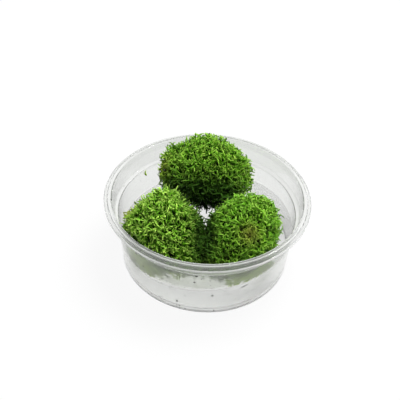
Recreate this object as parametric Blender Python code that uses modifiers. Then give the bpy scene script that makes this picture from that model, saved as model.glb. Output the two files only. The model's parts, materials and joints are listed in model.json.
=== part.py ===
"""Clear plastic cup with a layer of clear gel and three round cushions of riccia standing on it.

The cup's base centre is the origin, +Z is up, and -Y faces the viewer. Lengths are in metres.
"""

import math

import bmesh
import bpy
from mathutils import Matrix, Vector, noise

MM = 0.001
GAP = 0.3 * MM

# The cup: a thin formed sheet, measured on its inner and upper side.
RIM_RADIUS = 50.5 * MM
RIM_HEIGHT = 38.7 * MM
SHEET = 0.5 * MM
TURN_STEPS = 48

SKIRT_DEPTH = 1.4 * MM
LIP_CORNER = 0.8 * MM
BEAD_INNER_RADIUS = 46.7 * MM
BEAD_OUTER_RADIUS = 48.7 * MM
BEAD_RISE = 0.95 * MM
BEAD_CORNER = 0.9 * MM
BEAD_FOOT_CORNER = 0.3 * MM

COLLAR_FOOT_RADIUS = 45.3 * MM
COLLAR_DEPTH = 8.2 * MM
LEDGE_DROP = 0.7 * MM
WALL_TOP_RADIUS = 43.6 * MM
WALL_FOOT_RADIUS = 41.9 * MM
HEEL_CORNER = 1.4 * MM
LEDGE_CORNER = 0.7 * MM

PANEL_RADIUS = 37.6 * MM
PANEL_RISE = 0.6 * MM
PANEL_SLOPE = 0.9 * MM

# The gel: it fills the foot of the cup, and it set a little out of level, higher on the right.
GEL_LEVEL = 17.8 * MM
GEL_TILT = math.radians(4.5)

# The cushions: each is a soft block of fronds, pressed against the wall, the gel and its neighbours.
CUSHION_CUTS = 11
TUFT_SPAN = 7.0 * MM
TUFT_HEIGHT = 0.9 * MM
LOBE_SPAN = 17.0 * MM
LOBE_HEIGHT = 0.8 * MM
WALL_CLEARANCE = 0.6 * MM
LEDGE_SPAN = 3.0 * MM
GEL_CLEARANCE = 0.35 * MM

# Each swelling or dent of a cushion: azimuth and elevation in degrees, half width in degrees, height.
BACK_LUMPS = (
    (159, 24, 18, 2.4 * MM),
    (205, -25, 20, 1.2 * MM),
    (-13, -15, 18, 0.9 * MM),
    (29, 30, 24, -2.0 * MM),
    (95, 50, 24, 1.0 * MM),
)
LEFT_LUMPS = (
    (140, 36, 16, -2.4 * MM),
    (112, 46, 16, 0.6 * MM),
    (-120, -42, 26, 3.0 * MM),
    (-40, 25, 25, -1.0 * MM),
    (-42, -16, 26, 7.0 * MM),
)
RIGHT_LUMPS = (
    (51, 42, 17, 1.6 * MM),
    (125, 48, 22, -0.9 * MM),
    (-70, -42, 30, 4.5 * MM),
    (-70, 30, 24, 0.7 * MM),
    (-138, -16, 26, 7.0 * MM),
)

# Each cushion: name, centre, half sizes, lumps, and where its own pattern of tufts starts.
CUSHIONS = (
    ("riccia_clump_back", (-1.0, 23.5, 33.5), (23.4, 21.2, 16.7), BACK_LUMPS, 11.0),
    ("riccia_clump_left", (-20.0, -21.0, 33.6), (19.0, 20.3, 17.4), LEFT_LUMPS, 37.0),
    ("riccia_clump_right", (18.2, -20.4, 34.2), (17.8, 19.4, 16.9), RIGHT_LUMPS, 53.0),
)


def clear_scene():
    """Removes what the new file holds."""
    for obj in list(bpy.data.objects):
        bpy.data.objects.remove(obj, do_unlink=True)


def new_collection(name):
    """Returns a collection linked to the scene."""
    collection = bpy.data.collections.new(name)
    bpy.context.scene.collection.children.link(collection)
    return collection


def new_material(name, color, roughness, transmission=0.0, ior=1.45):
    """Returns a Principled material."""
    material = bpy.data.materials.new(name)
    material.use_nodes = True
    shader = material.node_tree.nodes["Principled BSDF"]
    shader.inputs["Base Color"].default_value = (*color, 1.0)
    shader.inputs["Roughness"].default_value = roughness
    shader.inputs["Metallic"].default_value = 0.0
    shader.inputs["Transmission Weight"].default_value = transmission
    shader.inputs["IOR"].default_value = ior
    return material


def rounded_path(corners, arc_steps=2):
    """Returns the path through corners of (radius, height, corner radius), each corner as an arc."""
    points = []
    for index, (x, z, corner) in enumerate(corners):
        here = Vector((x, z))
        if corner == 0.0:
            points.append(here)
            continue
        to_last = (Vector(corners[index - 1][:2]) - here).normalized()
        to_next = (Vector(corners[index + 1][:2]) - here).normalized()
        half = to_last.angle(to_next) / 2
        middle = here + (to_last + to_next).normalized() * corner / math.sin(half)
        start = here + to_last * corner / math.tan(half) - middle
        end = here + to_next * corner / math.tan(half) - middle
        sweep = start.angle_signed(end)
        for step in range(arc_steps + 1):
            turn = Matrix.Rotation(-sweep * step / arc_steps, 2)
            points.append(middle + turn @ start)
    return points


def turned(name, path, collection, material):
    """Returns an object made by turning a path of (radius, height) about Z."""
    mesh = bpy.data.meshes.new(name)
    verts = [(point[0], 0.0, point[1]) for point in path]
    edges = [(index, index + 1) for index in range(len(path) - 1)]
    mesh.from_pydata(verts, edges, [])
    obj = bpy.data.objects.new(name, mesh)
    collection.objects.link(obj)
    mesh.materials.append(material)
    screw = obj.modifiers.new("Turn", "SCREW")
    screw.axis = "Z"
    screw.angle = math.tau
    screw.steps = TURN_STEPS
    screw.render_steps = TURN_STEPS
    screw.use_merge_vertices = True
    screw.merge_threshold = 0.00001
    screw.use_smooth_shade = True
    return obj


def floor_corners(lift, inset):
    """Returns the corners of the cup's floor, from the axis out, lifted and drawn in by a gap."""
    panel_edge = PANEL_RADIUS - inset / 2
    return [
        (0.0, SHEET + PANEL_RISE + lift, 0.0),
        (panel_edge, SHEET + PANEL_RISE + lift, 0.0),
        (panel_edge + PANEL_SLOPE, SHEET + lift, 0.0),
        (WALL_FOOT_RADIUS - inset, SHEET + lift, HEEL_CORNER - inset / 2),
    ]


def wall_radius(height):
    """Returns the radius of the cup's inner side at a height above the table."""
    foot = SHEET
    top = RIM_HEIGHT - COLLAR_DEPTH - LEDGE_DROP
    if height <= top:
        share = (height - foot) / (top - foot)
        return WALL_FOOT_RADIUS + (WALL_TOP_RADIUS - WALL_FOOT_RADIUS) * share
    if height <= top + LEDGE_DROP:
        return WALL_TOP_RADIUS
    share = min((height - top - LEDGE_DROP) / COLLAR_DEPTH, 1.0)
    return COLLAR_FOOT_RADIUS + (BEAD_INNER_RADIUS - COLLAR_FOOT_RADIUS) * share


def make_cup(collection):
    """Makes the cup from the floor's centre, up the wall, over the bead and down the skirt."""
    bead_top = RIM_HEIGHT + BEAD_RISE
    collar_foot = RIM_HEIGHT - COLLAR_DEPTH
    corners = floor_corners(0.0, 0.0) + [
        (WALL_TOP_RADIUS, collar_foot - LEDGE_DROP, LEDGE_CORNER),
        (COLLAR_FOOT_RADIUS, collar_foot, LEDGE_CORNER),
        (BEAD_INNER_RADIUS, bead_top, BEAD_CORNER),
        (BEAD_OUTER_RADIUS, bead_top, BEAD_CORNER),
        (BEAD_OUTER_RADIUS + BEAD_FOOT_CORNER, RIM_HEIGHT, 0.0),
        (RIM_RADIUS, RIM_HEIGHT, LIP_CORNER),
        (RIM_RADIUS, RIM_HEIGHT - SKIRT_DEPTH, 0.0),
    ]
    path = rounded_path(corners)
    plastic = new_material("clear plastic", (0.90, 0.93, 0.92), 0.05, transmission=1.0, ior=1.57)
    cup = turned("cup", path, collection, plastic)
    shell = cup.modifiers.new("Sheet", "SOLIDIFY")
    shell.thickness = SHEET
    shell.offset = -1.0
    shell.use_even_offset = True
    return cup


def make_gel(collection, cutters):
    """Makes the gel, turned to the cup's inside and cut along its tilted surface."""
    brim = GEL_LEVEL + 8 * MM
    corners = floor_corners(GAP, GAP) + [(wall_radius(brim) - GAP, brim, 0.0), (0.0, brim, 0.0)]
    path = rounded_path(corners)
    path.reverse()
    clear = new_material("clear gel", (0.93, 0.96, 0.92), 0.02, transmission=1.0, ior=1.34)
    gel = turned("gel", path, collection, clear)

    size = 4 * RIM_RADIUS
    bpy.ops.mesh.primitive_cube_add(size=size)
    cutter = bpy.context.object
    cutter.name = "gel_surface_cutter"
    tilt = Matrix.Rotation(-GEL_TILT, 4, "Y")
    cutter.matrix_world = Matrix.Translation((0, 0, GEL_LEVEL)) @ tilt @ Matrix.Translation((0, 0, size / 2))
    cutter.display_type = "WIRE"
    cutter.hide_render = True
    for owner in list(cutter.users_collection):
        owner.objects.unlink(cutter)
    cutters.objects.link(cutter)

    cut = gel.modifiers.new("Surface", "BOOLEAN")
    cut.operation = "DIFFERENCE"
    cut.solver = "EXACT"
    cut.object = cutter
    return gel


def heading(azimuth, elevation):
    """Returns the unit vector at an azimuth and elevation in degrees."""
    turn = math.radians(azimuth)
    rise = math.radians(elevation)
    return Vector((math.cos(turn) * math.cos(rise), math.sin(turn) * math.cos(rise), math.sin(rise)))


def swelling(direction, place, lumps, pattern):
    """Returns how far a cushion's skin stands off its plain form, from its lumps, lobes and tufts."""
    height = 0.0
    for azimuth, elevation, width, rise in lumps:
        away = direction.angle(heading(azimuth, elevation))
        height += rise * math.exp(-((away / math.radians(width)) ** 2))
    shift = Vector((pattern, 0.0, 0.0))
    height += LOBE_HEIGHT * noise.noise(place / LOBE_SPAN + shift)
    height += TUFT_HEIGHT * noise.noise(place / TUFT_SPAN + 2 * shift)
    return height


def meeting_planes(index):
    """Returns a point and a normal between one cushion and each of the others."""
    planes = []
    centre = Vector(CUSHIONS[index][1]) * MM
    half = Vector(CUSHIONS[index][2]) * MM
    for other, (_, other_centre, other_half, _, _) in enumerate(CUSHIONS):
        if other == index:
            continue
        across = Vector(other_centre) * MM - centre
        across.z = 0.0
        normal = across.normalized()
        mine = Vector((half.x * normal.x, half.y * normal.y)).length
        theirs = Vector((other_half[0] * MM * normal.x, other_half[1] * MM * normal.y)).length
        planes.append((centre + across * mine / (mine + theirs), normal))
    return planes


def pressed(point, planes):
    """Returns a point of a cushion moved clear of its neighbours, the cup's wall and the gel.

    A cushion is too stiff to fill the corner above the ledge, so it widens again LEDGE_SPAN higher up.
    """
    for spot, normal in planes:
        past = (point - spot).dot(normal) + GAP
        if past > 0.0:
            point = point - normal * past
    reach = math.hypot(point.x, point.y)
    limit = wall_radius(point.z - LEDGE_SPAN) - WALL_CLEARANCE
    if reach > limit:
        point = Vector((point.x * limit / reach, point.y * limit / reach, point.z))
    surface = GEL_LEVEL + point.x * math.tan(GEL_TILT) + GEL_CLEARANCE
    if point.z < surface:
        point.z = surface
    return point


def make_cushion(index, collection, material):
    """Makes one cushion as a rounded, lumpy block that reaches the tips of its fronds."""
    name, centre, half, lumps, pattern = CUSHIONS[index]
    centre = Vector(centre) * MM
    half = Vector(half) * MM
    planes = meeting_planes(index)
    bm = bmesh.new()
    bmesh.ops.create_cube(bm, size=2.0)
    bmesh.ops.subdivide_edges(bm, edges=bm.edges, cuts=CUSHION_CUTS, use_grid_fill=True)
    for vert in bm.verts:
        spread = Vector([math.tan(math.pi / 4 * value) for value in vert.co])
        direction = spread.normalized()
        plain = Vector([a * b for a, b in zip(direction, half)])
        skin = plain + direction * swelling(direction, centre + plain, lumps, pattern)
        vert.co = pressed(centre + skin, planes)
    bmesh.ops.triangulate(bm, faces=bm.faces)
    mesh = bpy.data.meshes.new(name)
    bm.to_mesh(mesh)
    bm.free()
    mesh.materials.append(material)
    mesh.shade_smooth()
    obj = bpy.data.objects.new(name, mesh)
    collection.objects.link(obj)
    return obj


def main():
    """Builds the cup, the gel and the three cushions."""
    clear_scene()
    parts = new_collection("riccia_in_vitro_cup")
    cutters = new_collection("cutters")
    cutters.hide_render = True
    make_cup(parts)
    make_gel(parts, cutters)
    moss = new_material("riccia", (0.16, 0.36, 0.05), 0.7)
    for index in range(len(CUSHIONS)):
        make_cushion(index, parts, moss)


main()
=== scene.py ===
"""Dresses the riccia in vitro cup: the clear cup, its gel, the frond cushions and what clings to the wall.

Lengths are in metres. The cup's base centre is the origin, +Z is up, and -Y faces the viewer.
"""

import json
import logging
import math
import random
from collections.abc import Sequence
from dataclasses import dataclass
from enum import Enum

import bmesh
import bpy
import numpy as np
from mathutils import Matrix, Quaternion, Vector

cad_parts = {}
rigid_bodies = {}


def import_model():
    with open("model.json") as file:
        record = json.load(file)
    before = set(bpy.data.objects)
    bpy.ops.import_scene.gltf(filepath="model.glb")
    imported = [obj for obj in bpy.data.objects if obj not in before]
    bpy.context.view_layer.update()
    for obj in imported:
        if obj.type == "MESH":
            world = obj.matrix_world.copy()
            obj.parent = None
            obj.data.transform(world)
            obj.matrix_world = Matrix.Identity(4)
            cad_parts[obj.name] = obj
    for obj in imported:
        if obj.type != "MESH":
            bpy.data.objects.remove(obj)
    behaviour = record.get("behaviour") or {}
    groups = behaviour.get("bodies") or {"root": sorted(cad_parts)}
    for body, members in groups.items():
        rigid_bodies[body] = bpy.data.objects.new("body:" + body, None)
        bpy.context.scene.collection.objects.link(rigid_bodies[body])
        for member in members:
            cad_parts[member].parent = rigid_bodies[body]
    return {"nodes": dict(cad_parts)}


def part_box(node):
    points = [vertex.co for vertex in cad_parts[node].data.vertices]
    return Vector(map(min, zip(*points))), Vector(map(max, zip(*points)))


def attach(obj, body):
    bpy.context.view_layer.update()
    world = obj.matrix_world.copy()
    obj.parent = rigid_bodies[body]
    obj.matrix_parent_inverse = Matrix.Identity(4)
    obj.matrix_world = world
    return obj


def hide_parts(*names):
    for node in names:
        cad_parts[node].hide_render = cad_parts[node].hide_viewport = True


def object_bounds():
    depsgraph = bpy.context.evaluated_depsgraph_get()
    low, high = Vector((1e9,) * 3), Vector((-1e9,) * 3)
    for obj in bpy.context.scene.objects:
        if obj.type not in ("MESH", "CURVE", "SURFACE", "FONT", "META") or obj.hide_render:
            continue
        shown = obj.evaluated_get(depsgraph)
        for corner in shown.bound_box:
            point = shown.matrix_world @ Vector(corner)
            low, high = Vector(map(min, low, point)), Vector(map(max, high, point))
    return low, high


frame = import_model()
CAD_BOX = [list(corner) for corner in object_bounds()]

LOG = logging.getLogger("riccia_cup")
MM = 0.001
BODY = "root"
CUP_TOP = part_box("cup")[1]

Triple = tuple[float, float, float]
Color = Triple
Corner = Triple
Socket = bpy.types.NodeSocket


class Slot(Enum):
    """The record's material slots."""

    PLASTIC = "clear_plastic"
    GEL = "gel"
    RICCIA = "riccia"


class Wiring:
    """Adds nodes to one tree and links them."""

    def __init__(self, tree: bpy.types.NodeTree) -> None:
        """Takes the tree to fill."""
        self.tree = tree

    def feed(self, inlet: Socket, value: object) -> None:
        """Links an input or sets its value.

        Args:
            inlet: The input.
            value: The socket that feeds it, or its value, which has three numbers for a colour.
        """
        if isinstance(value, Socket):
            self.tree.links.new(value, inlet)
        else:
            inlet.default_value = (*value, 1.0) if inlet.type == "RGBA" else value

    def add(self, kind: str, inputs: dict | None = None, **settings: object) -> bpy.types.Node:
        """Adds a node, sets its options and fills its inputs.

        Args:
            kind: Blender's name for the node's type.
            inputs: Input names or numbers, each with a value or with the socket that feeds it.
            settings: The node's own options.

        Returns:
            The new node.
        """
        node = self.tree.nodes.new(kind)
        for option, value in settings.items():
            setattr(node, option, value)
        for key, value in (inputs or {}).items():
            self.feed(node.inputs[key], value)
        return node

    def put(self, kind: str, inputs: dict | None = None, **settings: object) -> Socket:
        """Adds a node and gives its first output."""
        return self.add(kind, inputs, **settings).outputs[0]

    def math(self, operation: str, *values: object) -> Socket:
        """Adds a Math node for numbers or sockets."""
        return self.put("ShaderNodeMath", dict(enumerate(values)), operation=operation)

    def ramp(self, factor: Socket, *stops: tuple[float, Color]) -> Socket:
        """Adds a colour ramp.

        Args:
            factor: What the ramp reads.
            stops: Each stop's place and colour.

        Returns:
            The ramp's colour.
        """
        node = self.add("ShaderNodeValToRGB", {0: factor})
        elements = node.color_ramp.elements
        while len(elements) < len(stops):
            elements.new(0.5)
        for element, (place, color) in zip(elements, stops):
            element.position = place
            element.color = (*color, 1.0)
        return node.outputs[0]

    def blend(self, factor: object, first: object, second: object, kind: str = "MIX") -> Socket:
        """Mixes two colours by a factor, in the way that kind names."""
        inputs = {0: factor, 6: first, 7: second}
        return self.add("ShaderNodeMix", inputs, data_type="RGBA", blend_type=kind).outputs[2]


class Surface(Wiring):
    """A Principled material and the patterns that feed it."""

    def __init__(self, name: str) -> None:
        """Starts the material.

        Args:
            name: The material's name.
        """
        self.material = bpy.data.materials.new(name)
        self.material.use_nodes = True
        super().__init__(self.material.node_tree)
        self.place = self.add("ShaderNodeTexCoord").outputs["Object"]

    def values(self, *names: str) -> list[Socket]:
        """Reads the mesh's named attributes."""
        return [self.add("ShaderNodeAttribute", attribute_name=name).outputs["Fac"] for name in names]

    def noise(self, span: float, detail: float = 2.0) -> Socket:
        """Adds a noise pattern with blotches of a span, and so many finer layers."""
        return self.put("ShaderNodeTexNoise", {"Vector": self.place, "Scale": 1.0 / span, "Detail": detail})

    def between(self, share: Socket, low: object, high: object) -> Socket:
        """Gives the number that lies a share of the way from low to high."""
        return self.put("ShaderNodeMapRange", {"Value": share, "To Min": low, "To Max": high})

    def mottle(self, pattern: Socket, dark: Color, light: Color, start: float = 0.3) -> Socket:
        """Colours a pattern's low parts dark and its high parts light."""
        return self.ramp(pattern, (start, dark), (0.7, light))

    def bump(self, height: Socket, strength: float, distance: float) -> Socket:
        """Makes a pattern into an uneven normal."""
        return self.put("ShaderNodeBump", {"Height": height, "Strength": strength, "Distance": distance})

    def finish(self, inputs: dict[str, object]) -> bpy.types.Material:
        """Fills the shader's inputs.

        Args:
            inputs: Input names, each with a value or with the socket that feeds it.

        Returns:
            The material.
        """
        shader = self.tree.nodes["Principled BSDF"]
        for name, value in inputs.items():
            self.feed(shader.inputs[name], value)
        return self.material


@dataclass(frozen=True)
class ClearPlastic:
    """Thin clear formed sheet, with flow marks, and mist above the gel."""

    dry_tint: Color = (0.83, 0.84, 0.822)
    mist_tint: Color = (0.90, 0.965, 0.81)
    wet_tint: Color = (0.995, 0.998, 0.992)
    # painted reflection: the grey tint where the moss's dark reflection in the gel would show
    painted_reflection_tint: Color = (0.70, 0.71, 0.68)
    ior: float = 1.57
    rim_roughness: float = 0.10
    wall_roughness: float = 0.12
    mist_roughness: float = 0.42
    mist_haze: float = 0.10
    # painted highlight: how pale the bend attribute makes the sheet
    highlight_haze: float = 0.55
    wave_span: float = 9.0 * MM
    wave_height: float = 0.05 * MM
    wave_strength: float = 0.25
    mist_span: float = 6.0 * MM
    mist_stops: tuple[float, float] = (0.30, 0.66)
    mist_least: float = 0.65

    def material(self) -> bpy.types.Material:
        """Makes the material; it reads the attributes mist, wet, gloss, bend and film.

        Mist says where drops dull the sheet, wet where gel touches it, gloss where it is smoothest,
        bend where a white haze paints highlights on the rim's bends at the front and faintly clouds the rest
        of the rim and the ledge, and film where the sheet is darkened as a painted reflection of the moss in
        the gel.

        Returns:
            The cup's material.
        """
        surface = Surface("clear formed plastic")
        mist, wet, gloss, bend, film = surface.values("mist", "wet", "gloss", "bend", "film")
        thin, thick = self.mist_stops
        cover = {"Value": surface.noise(self.mist_span), "From Min": thin, "From Max": thick}
        cover["To Min"] = self.mist_least
        misted = surface.math("MULTIPLY", mist, surface.put("ShaderNodeMapRange", cover))
        dry = surface.blend(misted, self.dry_tint, self.mist_tint)
        clean = surface.blend(wet, dry, self.wet_tint)
        plain = surface.between(gloss, self.wall_roughness, self.rim_roughness)
        # painted highlight: white haze on the front rim's bends, with a faint haze on the rest of the rim
        # and the ledge
        haze_and_highlight = surface.math("MULTIPLY", bend, self.highlight_haze)
        haze = surface.math("MULTIPLY_ADD", misted, self.mist_haze, haze_and_highlight)
        inputs = {
            # painted reflection: film greys the sheet in the front patches
            "Base Color": surface.blend(film, clean, self.painted_reflection_tint),
            "Roughness": surface.between(misted, plain, self.mist_roughness),
            "IOR": self.ior,
            "Transmission Weight": surface.math("SUBTRACT", 1.0, haze),
            "Normal": surface.bump(surface.noise(self.wave_span), self.wave_strength, self.wave_height),
        }
        return surface.finish(inputs)


@dataclass(frozen=True)
class ClearGel:
    """Set nutrient gel: clear, wet and very slightly uneven on top."""

    tint: Color = (0.995, 0.998, 0.992)
    ior: float = 1.34
    top_roughness: float = 0.02
    side_roughness: float = 0.12
    ripple_span: float = 7.0 * MM
    ripple_height: float = 0.08 * MM
    ripple_strength: float = 0.3

    def material(self) -> bpy.types.Material:
        """Makes the material; the attribute side says where the gel lies against the sheet.

        Returns:
            The gel's material.
        """
        surface = Surface("clear gel")
        side = surface.values("side")[0]
        ripples = surface.noise(self.ripple_span)
        inputs = {
            "Base Color": self.tint,
            "Roughness": surface.between(side, self.top_roughness, self.side_roughness),
            "IOR": self.ior,
            "Transmission Weight": 1.0,
            "Normal": surface.bump(ripples, self.ripple_strength, self.ripple_height),
        }
        return surface.finish(inputs)


@dataclass(frozen=True)
class Droplet:
    """Clear water, for the small drops on the wall."""

    tint: Color = (0.985, 0.99, 0.985)
    ior: float = 1.33
    roughest: float = 0.06
    grain: float = 0.4 * MM

    def material(self) -> bpy.types.Material:
        """Makes the material.

        Returns:
            The drops' material.
        """
        surface = Surface("water drops")
        roughness = surface.between(surface.noise(self.grain), 0.0, self.roughest)
        inputs = {"Base Color": self.tint, "Roughness": roughness, "IOR": self.ior}
        return surface.finish({**inputs, "Transmission Weight": 1.0})


@dataclass(frozen=True)
class FrondGreen:
    """Riccia: near black green inside, partly painted shade, leaf green along the frond and yellow-green at
    the tips.
    """

    name: str
    tip: Color = (0.268, 0.445, 0.062)
    blade: Color = (0.088, 0.255, 0.004)
    # partly painted shade: the frond bases and the heart are near black, for darker old bases deep in the
    # cushion and for the shade that falls there
    foot: Color = (0.006, 0.020, 0.002)
    deep: Color = (0.035, 0.15, 0.006)
    # painted shade: the near black green that the shade attribute mixes in where shade falls
    painted_shade_color: Color = (0.009, 0.032, 0.003)
    aged: Color = (0.22, 0.17, 0.035)
    # painted light: the bright yellow-green mixed in where fronds lie low against the front wall, standing
    # in for light through the cup
    pale: Color = (0.64, 0.86, 0.10)
    foot_end: float = 0.36
    blade_rise: float = 0.68
    tint_share: float = 0.75
    foot_age: float = 0.4
    shade_share: float = 0.92
    painted_light_share: float = 0.85
    dark_cells: Color = (0.72, 0.78, 0.7)
    light_cells: Color = (1.12, 1.08, 1.1)
    roughness: tuple[float, float] = (0.32, 0.54)
    inner_dullness: float = 0.45
    inner_falloff: float = 3.0
    cell_span: float = 0.35 * MM
    cell_height: float = 0.06 * MM
    cell_strength: float = 0.35
    specular: float = 0.12

    def material(self) -> bpy.types.Material:
        """Makes the material; it reads the attributes rise, tint and age, and the attributes that paint
        shade and light on the fronds.

        Returns:
            The fronds' material.
        """
        surface = Surface(self.name)
        rise, tint, age, shade, pallor = surface.values("rise", "tint", "age", "shade", "pallor")
        ends = ((0.0, self.foot), (self.foot_end, self.foot), (self.blade_rise, self.blade), (1.0, self.tip))
        along = surface.ramp(rise, *ends)
        dull = surface.math("MULTIPLY", surface.math("MULTIPLY", tint, self.tint_share), rise)
        varied = surface.blend(dull, along, self.deep)
        reach = surface.math("MULTIPLY_ADD", rise, 1.0 - self.foot_age, self.foot_age)
        aged = surface.blend(surface.math("MULTIPLY", age, reach), varied, self.aged)
        # painted shade: the fronds darken towards near black where shade is painted
        shaded = surface.blend(surface.math("MULTIPLY", shade, self.shade_share), aged, self.painted_shade_color)
        # painted light: the fronds brighten towards the pale colour where light is painted
        with_painted_light = surface.blend(surface.math("MULTIPLY", pallor, self.painted_light_share), shaded, self.pale)
        cells = surface.noise(self.cell_span, detail=3.0)
        mottle = surface.mottle(cells, self.dark_cells, self.light_cells)
        sheen = surface.between(cells, *self.roughness)
        inside = surface.math("POWER", surface.math("SUBTRACT", 1.0, rise), self.inner_falloff)
        inputs = {
            "Base Color": surface.blend(1.0, with_painted_light, mottle, "MULTIPLY"),
            "Roughness": surface.math("MULTIPLY_ADD", inside, self.inner_dullness, sheen),
            "Normal": surface.bump(cells, self.cell_strength, self.cell_height),
            "Specular IOR Level": self.specular,
        }
        return surface.finish(inputs)


@dataclass(frozen=True)
class Debris:
    """Dark specks of old frond."""

    dark: Color = (0.012, 0.012, 0.008)
    light: Color = (0.05, 0.05, 0.03)
    grain: float = 0.3 * MM
    roughness: float = 0.6

    def material(self) -> bpy.types.Material:
        """Makes the material.

        Returns:
            The specks' material.
        """
        surface = Surface("dark specks")
        color = surface.mottle(surface.noise(self.grain), self.dark, self.light, start=0.35)
        return surface.finish({"Base Color": color, "Roughness": self.roughness})


@dataclass(frozen=True)
class WhiteFloor:
    """Plain white studio floor: a light table, which glows evenly."""

    tones: tuple[float, float] = (0.034825, 0.035)
    glow: float = 0.92
    grain: float = 2.0 * MM
    roughness: float = 0.85

    def material(self) -> bpy.types.Material:
        """Makes the material.

        Returns:
            The floor's material.
        """
        surface = Surface("studio floor")
        dark, light = ((tone, tone, tone) for tone in self.tones)
        inputs = {
            "Base Color": surface.mottle(surface.noise(self.grain, detail=3.0), dark, light),
            "Roughness": self.roughness,
            "Specular IOR Level": 0.0,
            "Emission Color": (1.0, 1.0, 1.0),
            "Emission Strength": self.glow,
        }
        return surface.finish(inputs)


class ShapeTree(Wiring):
    """A Geometry Nodes tree with named inputs, built once and run on one object at a time."""

    def __init__(self, name: str, inputs: dict[str, str]) -> None:
        """Starts a tree that takes and gives a geometry.

        Args:
            name: The tree's name.
            inputs: Each other input's name and socket type, such as Float, Int or Material.
        """
        super().__init__(bpy.data.node_groups.new(name, "GeometryNodeTree"))
        sockets = self.tree.interface
        sockets.new_socket(name="Geometry", in_out="OUTPUT", socket_type="NodeSocketGeometry")
        self.keys: dict[str, str] = {}
        for label, kind in {"Geometry": "Geometry", **inputs}.items():
            made = sockets.new_socket(name=label, in_out="INPUT", socket_type=f"NodeSocket{kind}")
            self.keys[label] = made.identifier
        self.given = self.tree.nodes.new("NodeGroupInput").outputs

    def scaled(self, vector: Socket, amount: object) -> Socket:
        """Makes a vector longer or shorter."""
        return self.put("ShaderNodeVectorMath", {0: vector, "Scale": amount}, operation="SCALE")

    def chance(self, seed: int, low: object, high: object) -> Socket:
        """Draws a number between two for each point."""
        return self.add("FunctionNodeRandomValue", {2: low, 3: high, "Seed": seed}).outputs[1]

    def attribute(self, name: str, kind: str) -> Socket:
        """Reads a named attribute of the mesh."""
        return self.put("GeometryNodeInputNamedAttribute", {"Name": name}, data_type=kind)

    def moved(self, geometry: Socket, offset: Socket) -> Socket:
        """Moves each point by an offset."""
        return self.put("GeometryNodeSetPosition", {"Geometry": geometry, "Offset": offset})

    def smooth(self, geometry: Socket) -> Socket:
        """Shades a geometry smooth."""
        return self.put("GeometryNodeSetShadeSmooth", {"Geometry": geometry})

    def finish(self, geometry: Socket) -> None:
        """Ends the tree in Realize Instances and Set Material.

        Args:
            geometry: The tree's shape.
        """
        real = self.put("GeometryNodeRealizeInstances", {"Geometry": geometry})
        dressing = {"Geometry": real, "Material": self.given["Material"]}
        dressed = self.put("GeometryNodeSetMaterial", dressing)
        self.tree.links.new(dressed, self.tree.nodes.new("NodeGroupOutput").inputs[0])

    def run(self, obj: bpy.types.Object, values: dict[str, object]) -> None:
        """Turns an object's mesh into the tree's result, as a plain mesh.

        Args:
            obj: The object, whose mesh is the tree's starting geometry.
            values: A value for each named input.
        """
        modifier = obj.modifiers.new(self.tree.name, "NODES")
        modifier.node_group = self.tree
        for name, value in values.items():
            modifier[self.keys[name]] = value
        graph = bpy.context.evaluated_depsgraph_get()
        made = bpy.data.meshes.new_from_object(obj.evaluated_get(graph))
        obj.modifiers.remove(modifier)
        made.name = obj.name
        obj.data = made


def new_mesh(name: str, points: Sequence, edges: Sequence = (), faces: Sequence = ()) -> bpy.types.Mesh:
    """Makes a mesh.

    Args:
        name: The mesh's name.
        points: Its points.
        edges: Its loose edges.
        faces: Its faces.

    Returns:
        The mesh.
    """
    mesh = bpy.data.meshes.new(name)
    mesh.from_pydata(points, edges, faces)
    return mesh


def new_piece(mesh: bpy.types.Mesh) -> bpy.types.Object:
    """Puts a mesh in the scene as a piece at the origin.

    Args:
        mesh: The piece's mesh, whose name it takes.

    Returns:
        The new object.
    """
    obj = bpy.data.objects.new(mesh.name, mesh)
    bpy.context.scene.collection.objects.link(obj)
    return obj


def rows_of(items: bpy.types.bpy_prop_collection, name: str) -> np.ndarray:
    """Reads a vector of each of a mesh's points.

    Args:
        items: The points or their normals.
        name: The vector's name.

    Returns:
        One row of x, y and z for each.
    """
    flat = np.empty(len(items) * 3)
    items.foreach_get(name, flat)
    return flat.reshape(-1, 3)


def places_of(mesh: bpy.types.Mesh) -> np.ndarray:
    """Reads where a mesh's points are."""
    return rows_of(mesh.vertices, "co")


def move_points(mesh: bpy.types.Mesh, places: np.ndarray) -> None:
    """Writes where a mesh's points are."""
    mesh.vertices.foreach_set("co", places.ravel())
    mesh.update()


def store(mesh: bpy.types.Mesh, name: str, values: Sequence) -> None:
    """Stores a number or a vector for each point.

    Args:
        mesh: The mesh to change.
        name: The attribute's name.
        values: The numbers or the vectors.
    """
    numbers = np.array(values, dtype=np.float32)
    kind, field = ("FLOAT", "value") if numbers.ndim == 1 else ("FLOAT_VECTOR", "vector")
    attribute = mesh.attributes.get(name) or mesh.attributes.new(name, kind, "POINT")
    attribute.data.foreach_set(field, numbers.ravel())


def share_of(amount: np.ndarray) -> np.ndarray:
    """Keeps numbers between 0 and 1."""
    return np.clip(amount, 0.0, 1.0)


def close_shell(mesh: bpy.types.Mesh, gap: float) -> None:
    """Merges doubled points and turns every face outwards.

    Args:
        mesh: The mesh to change.
        gap: Points closer than this become one.
    """
    shell = bmesh.new()
    shell.from_mesh(mesh)
    bmesh.ops.remove_doubles(shell, verts=shell.verts, dist=gap)
    bmesh.ops.recalc_face_normals(shell, faces=shell.faces)
    shell.to_mesh(mesh)
    shell.free()


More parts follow.
